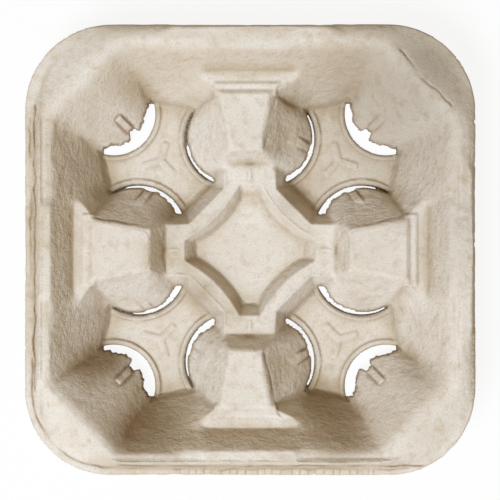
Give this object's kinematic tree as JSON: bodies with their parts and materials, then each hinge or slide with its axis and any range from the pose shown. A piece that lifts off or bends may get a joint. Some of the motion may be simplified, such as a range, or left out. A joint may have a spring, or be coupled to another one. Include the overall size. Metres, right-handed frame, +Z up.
{
  "type": "cup carrier",
  "caption": "Square moulded-fibre carrier tray: cup wells with springy slotted flaps round a star-shaped dish, raised saddles between the wells and a turned-down rim",
  "frame": {"origin": "middle of the tray at the level of the table it stands on", "axes": "+Z up, out of the wells; +X and +Y along the sides, +Y away from the picture's lower edge"},
  "size_m": [0.216, 0.216, 0.044],
  "materials": {
    "moulded_fibre": "matt, felted"
  },
  "bodies": {
    "root": {"moulded_tray": "moulded_fibre"}
  },
  "joints": []
}
